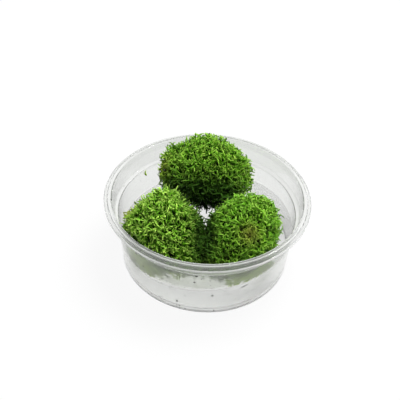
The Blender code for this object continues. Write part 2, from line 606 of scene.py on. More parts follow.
def rounded_path(corners: Sequence[Corner], arc_steps: int) -> list[Vector]:
    """Rounds a path's corners.

    Args:
        corners: Each corner's radius from the axis, height and corner radius.
        arc_steps: How many stretches an arc has.

    Returns:
        The path's points as (radius, height).
    """
    points = []
    for index, (x, z, corner) in enumerate(corners):
        here = Vector((x, z))
        if corner <= 0.0:
            points.append(here)
            continue
        to_last = (Vector(corners[index - 1][:2]) - here).normalized()
        to_next = (Vector(corners[index + 1][:2]) - here).normalized()
        half = to_last.angle(to_next) / 2
        middle = here + (to_last + to_next).normalized() * corner / math.sin(half)
        start = here + to_last * corner / math.tan(half) - middle
        end = here + to_next * corner / math.tan(half) - middle
        sweep = start.angle_signed(end)
        for step in range(arc_steps + 1):
            points.append(middle + Matrix.Rotation(-sweep * step / arc_steps, 2) @ start)
    return points


def offset_corners(corners: Sequence[Corner], distance: float) -> list[Corner]:
    """Moves a path to its right, and widens or tightens its corners to suit.

    Args:
        corners: Each corner's radius from the axis, height and corner radius.
        distance: How far the path moves.

    Returns:
        The moved corners.
    """
    moved = []
    last = len(corners) - 1
    for index, (x, z, corner) in enumerate(corners):
        here = Vector((x, z))
        before = here - Vector(corners[index - 1][:2]) if index > 0 else Vector(corners[1][:2]) - here
        after = Vector(corners[index + 1][:2]) - here if index < last else before
        before.normalize()
        after.normalize()
        normals = Vector((before.y + after.y, -before.x - after.x))
        spot = here + normals * distance / (1.0 + before.dot(after))
        bent = corner + math.copysign(distance, before.cross(after)) if corner > 0.0 else 0.0
        moved.append((spot.x, spot.y, max(bent, 0.0)))
    return moved


def with_short_steps(path: Sequence[Vector], longest: float) -> list[Vector]:
    """Adds points to a path's long stretches.

    Args:
        path: The path's points.
        longest: The longest stretch allowed.

    Returns:
        The denser path.
    """
    dense = [path[0]]
    for start, end in zip(path, path[1:]):
        parts = max(1, math.ceil((end - start).length / longest))
        dense.extend(start.lerp(end, part / parts) for part in range(1, parts + 1))
    return dense


@dataclass(frozen=True)
class TurnedForm:
    """Turns a section about Z with Geometry Nodes."""

    steps: int = 192
    turning_radius: float = 50.0 * MM
    merge_gap: float = 0.004 * MM
    crisp: float = math.radians(35)

    @staticmethod
    def tree() -> ShapeTree:
        """Builds the tree that sweeps the section round a circle.

        Returns:
            The tree.
        """
        kinds = {"Turning Radius": "Float", "Steps": "Int", "Merge Gap": "Float", "Material": "Material"}
        made = ShapeTree("turned section", kinds)
        given = made.given
        circle = {"Resolution": given["Steps"], "Radius": given["Turning Radius"]}
        sweep = {
            "Curve": made.put("GeometryNodeCurvePrimitiveCircle", circle),
            "Profile Curve": made.put("GeometryNodeMeshToCurve", {"Mesh": given["Geometry"]}),
        }
        swept = {"Geometry": made.put("GeometryNodeCurveToMesh", sweep), "Distance": given["Merge Gap"]}
        made.finish(made.smooth(made.put("GeometryNodeMergeByDistance", swept)))
        return made

    def make(self, name: str, path: Sequence[Vector], material: bpy.types.Material) -> bpy.types.Object:
        """Makes a closed piece from a section that starts and ends on the axis.

        Args:
            name: The piece's name.
            path: The section's points as (radius, height).
            material: The piece's material.

        Returns:
            The piece.
        """
        points = [(spot.x - self.turning_radius, -spot.y, 0.0) for spot in path]
        piece = new_piece(new_mesh(name, points, [(step, step + 1) for step in range(len(path) - 1)]))
        values = {
            "Turning Radius": self.turning_radius,
            "Steps": self.steps,
            "Merge Gap": self.merge_gap,
            "Material": material,
        }
        self.tree().run(piece, values)
        close_shell(piece.data, self.merge_gap)
        piece.data.set_sharp_from_angle(angle=self.crisp)
        return piece


@dataclass(frozen=True)
class CupSection:
    """The cup's section, measured on the sheet's inner and upper side."""

    rim_radius: float = CUP_TOP.x
    bead_rise: float = 0.95 * MM
    sheet: float = 0.5 * MM
    skirt_depth: float = 1.4 * MM
    lip_corner: float = 0.8 * MM
    bead_inner_radius: float = 46.7 * MM
    bead_outer_radius: float = 48.7 * MM
    bead_corner: float = 0.9 * MM
    bead_foot_corner: float = 0.3 * MM
    collar_foot_radius: float = 45.3 * MM
    collar_depth: float = 8.2 * MM
    ledge_drop: float = 0.7 * MM
    ledge_corner: float = 0.7 * MM
    wall_top_radius: float = 43.6 * MM
    wall_foot_radius: float = 41.9 * MM
    heel_corner: float = 1.4 * MM
    panel_radius: float = 37.6 * MM
    panel_rise: float = 0.6 * MM
    panel_slope: float = 0.9 * MM
    edge_corner: float = 0.15 * MM
    arc_steps: int = 6
    longest_step: float = 1.2 * MM

    @property
    def rim_height(self) -> float:
        """The height of the flat lip's upper side."""
        return CUP_TOP.z - self.bead_rise

    @property
    def collar_foot(self) -> float:
        """The height of the collar's foot, which is the ledge's outer edge."""
        return self.rim_height - self.collar_depth

    @property
    def ledge_height(self) -> float:
        """The height of the ledge's inner edge."""
        return self.collar_foot - self.ledge_drop

    def corners(self) -> list[Corner]:
        """Gives the sheet's corners.

        Returns:
            The corners from the axis over the rim to the skirt's foot.
        """
        panel_top = self.sheet + self.panel_rise
        bead_top = self.rim_height + self.bead_rise
        return [
            (0.0, panel_top, 0.0),
            (self.panel_radius, panel_top, self.edge_corner),
            (self.panel_radius + self.panel_slope, self.sheet, self.edge_corner),
            (self.wall_foot_radius, self.sheet, self.heel_corner),
            (self.wall_top_radius, self.ledge_height, self.ledge_corner),
            (self.collar_foot_radius, self.collar_foot, self.ledge_corner),
            (self.bead_inner_radius, bead_top, self.bead_corner),
            (self.bead_outer_radius, bead_top, self.bead_corner),
            (self.bead_outer_radius + self.bead_foot_corner, self.rim_height, 0.0),
            (self.rim_radius, self.rim_height, self.lip_corner),
            (self.rim_radius, self.rim_height - self.skirt_depth, self.edge_corner),
        ]

    def outline(self) -> list[Vector]:
        """Gives the sheet's whole section.

        Returns:
            Points that start and end on the axis.
        """
        upper = self.corners()
        lower = offset_corners(upper[:-1] + [(*upper[-1][:2], 0.0)], self.sheet)
        lower[-1] = (*lower[-1][:2], self.edge_corner)
        path = rounded_path(upper + lower[::-1], self.arc_steps)
        return with_short_steps(path, self.longest_step)

    def wall_radius(self, height: np.ndarray) -> np.ndarray:
        """Gives the inner side's radius.

        Args:
            height: Heights above the table.

        Returns:
            The radius at each height.
        """
        heights = (self.sheet, self.ledge_height, self.collar_foot, self.rim_height + self.bead_rise)
        wall = (self.wall_foot_radius, self.wall_top_radius)
        return np.interp(height, heights, (*wall, self.collar_foot_radius, self.bead_inner_radius))


@dataclass(frozen=True)
class GelFill:
    """The set gel, which fills the cup's foot and reaches a little into its sheet, so no air shows."""

    section: CupSection
    corners_followed: int = 5
    bite: float = 0.05 * MM
    level: float = 17.8 * MM
    tilt: float = math.radians(4.5)
    meniscus: float = 0.05 * MM
    meniscus_span: float = 0.9 * MM
    meniscus_steps: int = 8
    flat_reach: float = 6.0
    longest_step: float = 2.0 * MM
    side_fade: float = 0.3 * MM
    frond_gap: float = 0.12 * MM
    box_gap: float = 0.02 * MM

    def surface(self, x: np.ndarray) -> np.ndarray:
        """Gives the height of the gel's top at each x."""
        return self.level + x * math.tan(self.tilt)

    def outline(self) -> list[Vector]:
        """Gives the gel's section before it tilts.

        Returns:
            Points that start and end on the axis.
        """
        outside = offset_corners(self.section.corners()[: self.corners_followed], self.bite)
        brim = self.level + self.meniscus
        foot, top = Vector(outside[-2][:2]), Vector(outside[-1][:2])
        edge = foot.lerp(top, (brim - foot.y) / (top.y - foot.y))
        path = rounded_path(outside[:-1] + [(edge.x, edge.y, 0.0)], self.section.arc_steps)
        inner = float(self.section.wall_radius(brim))
        for step in range(self.meniscus_steps + 1):
            inward = self.meniscus_span * self.flat_reach * (step / self.meniscus_steps) ** 2
            rise = self.meniscus * math.exp(-inward / self.meniscus_span)
            path.append(Vector((inner - inward, self.level + rise)))
        path.append(Vector((0.0, self.level)))
        return with_short_steps(path, self.longest_step)

    def make(self) -> bpy.types.Object:
        """Makes and dresses the gel.

        Returns:
            The gel.
        """
        gel = TurnedForm().make("clear_gel", self.outline(), ClearGel().material())
        self.tip_over(gel.data)
        places = places_of(gel.data)
        depth = (self.surface(places[:, 0]) - places[:, 2]) / self.side_fade
        store(gel.data, "side", share_of(depth - 1.0))
        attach(gel, BODY)
        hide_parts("gel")
        return gel

    def tip_over(self, mesh: bpy.types.Mesh) -> None:
        """Tilts the gel's top, and keeps its side in the middle of the wall.

        Args:
            mesh: The gel's mesh.
        """
        places = places_of(mesh)
        heel = self.section.sheet + self.section.heel_corner
        lift = places[:, 0] * math.tan(self.tilt) * share_of((places[:, 2] - heel) / (self.level - heel))
        spread = self.section.wall_radius(places[:, 2] + lift) / self.section.wall_radius(places[:, 2])
        places[:, :2] *= spread[:, None]
        places[:, 2] += lift
        move_points(mesh, places)

    def press_back(self, mesh: bpy.types.Mesh) -> None:
        """Presses fronds back from the wall and the gel, and below the CAD box's top.

        Args:
            mesh: The fronds' mesh.
        """
        places = places_of(mesh)
        reach = np.maximum(np.hypot(places[:, 0], places[:, 1]), MM)
        shrink = np.minimum(1.0, (self.section.wall_radius(places[:, 2]) - self.frond_gap) / reach)
        places[:, :2] *= shrink[:, None]
        places[:, 2] = np.maximum(places[:, 2], self.surface(places[:, 0]) + self.frond_gap)
        places[:, 2] = np.minimum(places[:, 2], CAD_BOX[1][2] - self.box_gap)
        move_points(mesh, places)


@dataclass(frozen=True)
class Patch:
    """A rounded patch where a surface or its fronds differ, with its sizes in millimetres."""

    centre: Triple
    span: Triple
    strength: float

    def share(self, places: np.ndarray) -> np.ndarray:
        """Gives how strongly each place is touched, which fades outwards from the patch's centre."""
        away = (places / MM - np.array(self.centre)) / np.array(self.span)
        return self.strength * np.exp(-(away**2).sum(axis=1))


def strength_of(patches: Sequence[Patch], places: np.ndarray) -> np.ndarray:
    """Adds up how strongly patches touch each place."""
    return sum((patch.share(places) for patch in patches), np.zeros(len(places)))


@dataclass(frozen=True)
class FormedCup:
    """The clear cup, made as one turned sheet; each painted highlight ring is a radius, a span and how
    strong its white haze is.
    """

    gel: GelFill
    gel_margin: float = 0.6 * MM
    mist_fade: float = 1.5 * MM
    front_fade: float = 2.0
    wet_fade: float = 0.8 * MM
    gloss_fade: float = 1.5 * MM
    heel_fade: float = 2.5 * MM
    heel_scuff: float = 0.8
    # painted highlight: white haze rings on the rim's bends, full only at the front, stand in for the bright
    # lines there
    painted_highlight_rings: tuple[Triple, ...] = (
        (47.05 * MM, 0.20 * MM, 1.0),
        (48.45 * MM, 0.15 * MM, 0.7),
        (50.55 * MM, 0.2 * MM, 1.0),
    )
    painted_highlight_fade: float = 1.6
    painted_highlight_start: float = 0.1
    rim_cloud: float = 0.1
    ledge_cloud: float = 0.15
    ledge_fade: float = 0.9 * MM
    # painted reflection: patches low in front, in the gel zone, where the sheet is greyed
    painted_reflection_patches: tuple[Patch, ...] = (
        Patch((28, -32, 17), (8, 8, 5), 1.0),
        Patch((-34, -26, 16), (5, 6, 5), 1.0),
    )

    def make(self) -> bpy.types.Object:
        """Makes and dresses the cup.

        Returns:
            The cup.
        """
        cup = TurnedForm().make("clear_cup", self.gel.section.outline(), ClearPlastic().material())
        self.mark(cup.data)
        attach(cup, BODY)
        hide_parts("cup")
        return cup

    def mark(self, mesh: bpy.types.Mesh) -> None:
        """Stores how misted, wet, darkened by a painted reflection, glossy and pale with painted highlight
        and haze each point of the sheet is.

        Args:
            mesh: The cup's mesh.
        """
        section = self.gel.section
        places = places_of(mesh)
        x, y, z = places.T
        reach = np.hypot(x, y)
        inner = reach < section.wall_radius(z) + section.sheet / 2
        above = share_of((z - self.gel.surface(x) - self.gel_margin) / self.mist_fade)
        below_rim = share_of((section.rim_height - z) / section.collar_depth)
        front = share_of(-y / section.wall_foot_radius * self.front_fade)
        at_heel = (reach > section.panel_radius) * share_of(2.0 - z / self.heel_fade * 2.0)
        store(mesh, "mist", np.maximum(inner * front * above * below_rim, self.heel_scuff * at_heel))
        store(mesh, "wet", share_of((self.gel.surface(x) - z) / self.wet_fade + 0.5))
        # painted reflection: film greys the sheet in the front patches
        store(mesh, "film", share_of(strength_of(self.painted_reflection_patches, places)))
        store(mesh, "gloss", share_of((z - section.rim_height) / self.gloss_fade + 2.0))
        haze_and_highlight = [amount * np.exp(-(((reach - radius) / span) ** 2)) for radius, span, amount in self.painted_highlight_rings]
        at_rim = z > section.rim_height - 2.0 * section.skirt_depth
        # painted highlight: full on the front half of the rim, an even faint haze elsewhere
        painted_highlight_front = share_of(-y / np.maximum(reach, MM) * self.painted_highlight_fade - self.painted_highlight_start)
        rim = np.max(haze_and_highlight, axis=0) * painted_highlight_front + self.rim_cloud * (1.0 - painted_highlight_front)
        at_ledge = self.ledge_cloud * np.exp(-(((z - section.ledge_height) / self.ledge_fade) ** 2))
        store(mesh, "bend", np.maximum(rim * at_rim, at_ledge))


@dataclass(frozen=True)
class FrondHabit:
    """How one cushion's fronds grow: the stretches between forks, their forks and their curl."""

    stretches: tuple[float, ...] = (2.0 * MM, 2.0 * MM, 2.4 * MM)
    segments: tuple[int, ...] = (1, 1, 3)
    forking: tuple[float, ...] = (1.0, 0.4, 0.0)
    width: float = 0.62 * MM
    thickness: float = 0.30 * MM
    narrowing: float = 0.94
    tip_width: float = 0.6
    overlap: float = 0.4
    fork: float = math.radians(28)
    curl: float = math.radians(16)
    tightening: float = 1.6
    bend: float = math.radians(8)
    twist: float = math.radians(40)
    curl_range: tuple[float, float] = (0.4, 1.6)
    length_range: tuple[float, float] = (0.75, 1.25)
    fork_range: tuple[float, float] = (0.7, 1.3)
    back_range: tuple[float, float] = (0.3, 0.8)
    variants: int = 12
    seed: int = 1


class FrondMaker:
    """Makes a few forked fronds, from which Geometry Nodes cover a cushion."""

    def __init__(self, habit: FrondHabit, seed: int) -> None:
        """Takes the way that the fronds grow, and what starts the random choices."""
        self.habit = habit
        self.random = random.Random(seed)

    def collection(self, name: str) -> bpy.types.Collection:
        """Makes every variant, in a collection that isn't in the scene.

        Args:
            name: The collection's name.

        Returns:
            The collection of fronds, which have the attribute rise.
        """
        made = bpy.data.collections.new(name)
        for number in range(self.habit.variants):
            self.grow()
            mesh = new_mesh(f"{name}_{number}", self.verts, faces=self.faces)
            store(mesh, "rise", self.rises)
            made.objects.link(bpy.data.objects.new(mesh.name, mesh))
        return made

    def grow(self) -> None:
        """Grows one frond, which stands on the origin and grows up."""
        self.verts, self.faces, self.rises = [], [], []
        self.strand(Vector(), Vector((0, 0, 1)), Vector((1, 0, 0)), 0, self.habit.width)

    def strand(self, place: Vector, heading: Vector, side: Vector, level: int, width: float) -> None:
        """Grows a curling ribbon from one fork to a tip, with the ribbons that fork off it.

        Args:
            place: Where the ribbon starts.
            heading: The way it grows.
            side: The way its width lies.
            level: How many forks lie below it.
            width: Its width at the start.
        """
        habit = self.habit
        draw = self.random.uniform
        levels = len(habit.stretches)
        rings = [(place, side, heading, width, level / levels)]
        axis = side.lerp(heading.cross(side), self.random.random()).normalized()
        curl = self.random.choice((-1.0, 1.0)) * draw(*habit.curl_range) * habit.curl
        for step in range(level, levels):
            length = habit.stretches[step] * draw(*habit.length_range)
            for segment in range(habit.segments[step]):
                part = length / habit.segments[step]
                tight = curl * habit.tightening**step
                turn = Quaternion(axis, tight * part / MM + self.random.gauss(0.0, habit.bend))
                heading = (turn @ heading).normalized()
                side = (turn @ side).normalized()
                place = place + heading * part
                rise = (step + (segment + 1) / habit.segments[step]) / levels
                rings.append((place, side, heading, width, rise))
            if step == levels - 1 or self.random.random() > habit.forking[level]:
                continue
            normal = heading.cross(side)
            twist = Quaternion(heading, draw(-habit.twist, habit.twist))
            away = Quaternion(normal, -habit.fork * draw(*habit.fork_range))
            width *= habit.narrowing
            foot = place - heading * width * habit.overlap
            self.strand(foot, away @ heading, twist @ (away @ side), step + 1, width)
            back = Quaternion(normal, habit.fork * draw(*habit.back_range))
            heading = back @ heading
            side = back @ side
        self.ribbon(rings)

    def ribbon(self, rings: Sequence[tuple[Vector, Vector, Vector, float, float]]) -> None:
        """Adds one closed ribbon with a flat back and a ridged face.

        Args:
            rings: Each ring's place, side, heading, width and rise.
        """
        last = len(rings) - 1
        start = len(self.verts)
        for index, (place, side, heading, width, rise) in enumerate(rings):
            half = side * width * (self.habit.tip_width if index == last else 1.0) / 2
            ridge = heading.cross(side) * self.habit.thickness
            first = len(self.verts)
            self.verts += [place - half, place + half, place + ridge]
            self.rises += [rise] * 3
            if index > 0:
                low = first - 3
                self.faces += [(low + a, low + b, first + b, first + a) for a, b in ((0, 1), (1, 2), (2, 0))]
        self.faces += [(start, start + 2, start + 1), tuple(range(first, first + 3))]


@dataclass(frozen=True)
class Cushion:
    """One cushion of riccia: a dark heart, whose near black colour is partly painted shade, covered by
    forked fronds that reach the CAD solid's skin.
    """

    node: str
    piece: str
    green: FrondGreen
    habit: FrondHabit
    seed: int
    fronds: int
    aged: tuple[Patch, ...]
    # painted shade: patches where the fronds are painted darker, in the valley between cushions and low in
    # front of the back cushion
    shady: tuple[Patch, ...]
    swells: tuple[Patch, ...]
    # painted light: patches where the fronds low against the front wall are painted brighter
    with_painted_light: tuple[Patch, ...] = ()
    lean: float = 0.6
    settling: tuple[float, float] = (0.0, 0.0)
    foot_depth: float = 1.4
    crowding: float = 0.7
    underside: float = 0.25
    underside_normals: tuple[float, float] = (-0.9, -0.3)
    heart_depth: float = 3.6 * MM
    reach: float = 4.2 * MM
    smallest: float = 0.75
    largest: float = 1.25
    tuft_span: float = 5.0 * MM
    tuft_share: float = 0.45
    merge_gap: float = 0.01 * MM

    @staticmethod
    def tree() -> ShapeTree:
        """Builds the tree that stands fronds all over a heart.

        Returns:
            The tree.
        """
        numbers = ("Density", "Lean", "Smallest", "Largest", "Tufts per Metre", "Tuft Share")
        kinds = dict.fromkeys((*numbers, "Heart Depth", "Frond Reach"), "Float")
        kinds |= {"Fronds": "Collection", "Seed": "Int", "Material": "Material"}
        spin_seed, size_seed, pick_seed, tint_seed = 7, 11, 13, 17
        most_variants = 1000
        made = ShapeTree("frond cover", kinds)
        given = made.given
        skin_normal = made.put("GeometryNodeInputNormal")
        inward = made.scaled(skin_normal, made.math("MULTIPLY", given["Heart Depth"], -1.0))
        heart = made.moved(given["Geometry"], inward)
        density = made.math("MULTIPLY", given["Density"], made.attribute("cover", "FLOAT"))
        scatter = {"Mesh": given["Geometry"], "Density": density, "Seed": given["Seed"]}
        spread = made.add("GeometryNodeDistributePointsOnFaces", scatter).outputs
        lean = {0: made.math("MULTIPLY", given["Lean"], -1.0), 1: given["Lean"], "Seed": given["Seed"]}
        swerve = made.put("FunctionNodeRandomValue", lean, data_type="FLOAT_VECTOR")
        heading = made.put("ShaderNodeVectorMath", {0: spread["Normal"], 1: swerve}, operation="ADD")
        straight = made.put("ShaderNodeVectorMath", {0: heading}, operation="NORMALIZE")
        upright = made.put("FunctionNodeAlignRotationToVector", {"Vector": straight}, axis="Z")
        spin = made.put("ShaderNodeCombineXYZ", {2: made.chance(spin_seed, 0.0, math.tau)})
        turn = {0: upright, 1: made.put("FunctionNodeEulerToRotation", {0: spin})}
        place = made.put("GeometryNodeInputPosition")
        noise = {"Vector": place, "Scale": given["Tufts per Metre"], "Detail": 1.0}
        centred = made.math("SUBTRACT", made.put("ShaderNodeTexNoise", noise), 0.5)
        swell = made.math("MULTIPLY_ADD", centred, given["Tuft Share"], 1.0)
        size = made.chance(size_seed, given["Smallest"], given["Largest"])
        below = made.scaled(spread["Normal"], made.math("MULTIPLY", given["Frond Reach"], -1.0))
        stock = {"Collection": given["Fronds"], "Separate Children": True, "Reset Children": True}
        among = {4: 0, 5: most_variants, "Seed": pick_seed}
        planting = {
            "Points": made.moved(spread["Points"], below),
            "Instance": made.put("GeometryNodeCollectionInfo", stock),
            "Pick Instance": True,
            "Instance Index": made.add("FunctionNodeRandomValue", among, data_type="INT").outputs[2],
            "Rotation": made.put("FunctionNodeRotateRotation", turn, rotation_space="LOCAL"),
            "Scale": made.math("MULTIPLY", size, swell),
        }
        planted = made.put("GeometryNodeInstanceOnPoints", planting)
        tint = {"Geometry": planted, "Name": "tint", "Value": made.chance(tint_seed, 0.0, 1.0)}
        tinted = made.put("GeometryNodeStoreNamedAttribute", tint, data_type="FLOAT", domain="INSTANCE")
        joined = made.add("GeometryNodeJoinGeometry", {0: heart})
        made.tree.links.new(tinted, joined.inputs[0])
        made.finish(joined.outputs[0])
        return made

    def skin(self) -> bpy.types.Object:
        """Makes the cushion's skin, a closed copy of the CAD solid that its foot and swells change.

        Returns:
            The skin, ready to be covered.
        """
        mesh = frame["nodes"][self.node].data.copy()
        mesh.name = self.piece
        mesh.materials.clear()
        close_shell(mesh, self.merge_gap)
        mesh.shade_smooth()
        places = places_of(mesh)
        lowest, highest = places.min(axis=0), places.max(axis=0)
        away = (places - (lowest + highest) / 2) / (highest - lowest) * 2.0
        settling = np.array(self.settling)
        outward = away[:, :2] @ (settling / max(math.hypot(*self.settling), MM)) * 0.5 + 0.5
        share = share_of(outward) * share_of(-away[:, 2] * self.foot_depth)
        swollen = strength_of(self.swells, places)[:, None] * rows_of(mesh.vertex_normals, "vector")
        places[:, :2] += share[:, None] * settling
        move_points(mesh, places + swollen * MM)
        return new_piece(mesh)

    def cover(self, mesh: bpy.types.Mesh) -> float:
        """Stores how densely the fronds stand: more where shade is painted, fewer underneath.

        Args:
            mesh: The skin's mesh.

        Returns:
            The skin's area, weighted by that.
        """
        shade = share_of(strength_of(self.shady, places_of(mesh)))
        rising = rows_of(mesh.vertex_normals, "vector")[:, 2]
        facing = np.interp(rising, self.underside_normals, (self.underside, 1.0))
        amount = facing * (1.0 + self.crowding * shade)
        store(mesh, "cover", amount)
        return sum(polygon.area * float(amount[list(polygon.vertices)].mean()) for polygon in mesh.polygons)

    def mark(self, mesh: bpy.types.Mesh) -> None:
        """Stores where the cushion is aged, where shade is painted on it and where light is painted on it.

        Args:
            mesh: The cushion's mesh.
        """
        places = places_of(mesh)
        for name, patches in (("age", self.aged), ("shade", self.shady), ("pallor", self.with_painted_light)):
            store(mesh, name, share_of(strength_of(patches, places)))

    def make(self, cover: ShapeTree, gel: GelFill) -> bpy.types.Object:
        """Makes and dresses the cushion.

        Args:
            cover: The tree that stands fronds on a heart.
            gel: The gel, which the fronds stay above, in the cup, which they stay inside.

        Returns:
            The cushion.
        """
        piece = self.skin()
        covered = self.cover(piece.data)
        stock = FrondMaker(self.habit, self.habit.seed).collection(f"{self.piece}_fronds")
        values = {
            "Fronds": stock,
            "Density": self.fronds / covered,
            "Lean": self.lean,
            "Smallest": self.smallest,
            "Largest": self.largest,
            "Tufts per Metre": 1.0 / self.tuft_span,
            "Tuft Share": 2.0 * self.tuft_share,
            "Heart Depth": self.heart_depth,
            "Frond Reach": self.reach,
            "Seed": self.seed,
            "Material": self.green.material(),
        }
        cover.run(piece, values)
        for frond in list(stock.objects):
            bpy.data.objects.remove(frond, do_unlink=True)
        bpy.data.collections.remove(stock)
        gel.press_back(piece.data)
        self.mark(piece.data)
        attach(piece, BODY)
        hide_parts(self.node)
        return piece


@dataclass(frozen=True)
class Bead:
    """One small thing on a surface: where it sits, which way that faces, and its half sizes."""

    place: Vector
    facing: Vector
    size: Triple


@dataclass(frozen=True)
class Clinging:
    """Sets small rounded shapes on the wall with Geometry Nodes."""

    section: CupSection
    detail: int = 2
    lump_span: float = 0.9 * MM

    @staticmethod
    def tree() -> ShapeTree:
        """Builds the tree that puts an uneven ball on each point.

        Returns:
            The tree.
        """
        kinds = {"Detail": "Int", "Lump Height": "Float", "Lumps per Metre": "Float", "Material": "Material"}
        made = ShapeTree("clinging shapes", kinds)
        given = made.given
        facing = {"Vector": made.attribute("facing", "FLOAT_VECTOR")}
        planting = {
            "Points": given["Geometry"],
            "Instance": made.put("GeometryNodeMeshIcoSphere", {0: 1.0, 1: given["Detail"]}),
            "Rotation": made.put("FunctionNodeAlignRotationToVector", facing, axis="Z"),
            "Scale": made.attribute("size", "FLOAT_VECTOR"),
        }
        planted = made.put("GeometryNodeInstanceOnPoints", planting)
        real = made.put("GeometryNodeRealizeInstances", {"Geometry": planted})
        noise = {"Vector": made.put("GeometryNodeInputPosition"), "Scale": given["Lumps per Metre"]}
        centred = made.math("SUBTRACT", made.put("ShaderNodeTexNoise", noise), 0.5)
        push = made.math("MULTIPLY", centred, given["Lump Height"])
        lumpy = made.moved(real, made.scaled(made.put("GeometryNodeInputNormal"), push))
        made.finish(made.smooth(lumpy))
        return made

    def on_wall(self, azimuth: float, height: float, radius: float, shape: Triple) -> Bead:
        """Places a bead on the wall's inner side.

        Args:
            azimuth: Its bearing in degrees.
            height: Its height above the table in millimetres.
            radius: Its radius in millimetres.
            shape: Its half sizes along, up and off the wall, as shares of the radius.

        Returns:
            The bead.
        """
        size = tuple(radius * part * MM for part in shape)
        outward = bearing(azimuth)
        reach = float(self.section.wall_radius(height * MM)) - size[2] / 2
        place = outward * reach + Vector((0.0, 0.0, max(height * MM, self.section.sheet)))
        return Bead(place, -outward, size)

    def piece(
        self, name: str, beads: Sequence[Bead], lumps: float, material: bpy.types.Material
    ) -> bpy.types.Object:
        """Makes one piece from many beads.

        Args:
            name: The piece's name.
            beads: The beads.
            lumps: How high their lumps are.
            material: Their material.

        Returns:
            The piece, on the body root.
        """
        mesh = new_mesh(name, [bead.place for bead in beads])
        store(mesh, "facing", [bead.facing for bead in beads])
        store(mesh, "size", [bead.size for bead in beads])
        made = new_piece(mesh)
        values = {
            "Detail": self.detail,
            "Lump Height": lumps,
            "Lumps per Metre": 1.0 / self.lump_span,
            "Material": material,
        }
        self.tree().run(made, values)
        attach(made, BODY)
        return made


def bearing(azimuth: float) -> Vector:
    """Gives the level direction at an angle in degrees, counted from +X towards +Y."""
    turn = math.radians(azimuth)
    return Vector((math.cos(turn), math.sin(turn), 0.0))


@dataclass(frozen=True)
class WaterDrops:
    """Drops and fine mist on the wall above the gel, and tiny bubbles against the wall in the gel.

    Bearings are in degrees, heights and radii in millimetres.
    """

    gel: GelFill
    drops: int = 110
    drop_turns: Triple = (-165.0, -15.0, -75.0)
    drop_rise: float = 4.5
    highest_drop: float = 29.0
    drop_radii: tuple[float, float] = (0.12, 0.36)
    drop_shape: Triple = (1.0, 1.2, 0.45)
    bubbles: int = 90
    bubble_turns: tuple[float, float] = (-175.0, -5.0)
    lowest_bubble: float = 2.0
    bubble_radii: tuple[float, float] = (0.10, 0.24)
    bubble_shape: Triple = (1.0, 1.0, 0.6)
    margin: float = 1.0
    lumps: float = 0.06 * MM
    seed: int = 31

    def make(self) -> bpy.types.Object:
        """Makes the drops and bubbles.

        Returns:
            The piece.
        """
        clinging = Clinging(self.gel.section)
        chance = random.Random(self.seed)
        beads = []
        for _ in range(self.drops):
            azimuth = chance.triangular(*self.drop_turns)
            height = self.level(azimuth) + self.margin + abs(chance.gauss(0.0, self.drop_rise))
            radius = chance.uniform(*self.drop_radii)
            beads.append(clinging.on_wall(azimuth, min(height, self.highest_drop), radius, self.drop_shape))
        for _ in range(self.bubbles):
            azimuth = chance.uniform(*self.bubble_turns)
            height = chance.uniform(self.lowest_bubble, self.level(azimuth) - self.margin)
            radius = chance.uniform(*self.bubble_radii)
            beads.append(clinging.on_wall(azimuth, height, radius, self.bubble_shape))
        piece = clinging.piece("wall_drops", beads, self.lumps, Droplet().material())
        return piece

    def level(self, azimuth: float) -> float:
        """Gives the gel's height at the wall, in millimetres."""
        reach = self.gel.section.wall_foot_radius * math.cos(math.radians(azimuth))
        return float(self.gel.surface(reach)) / MM


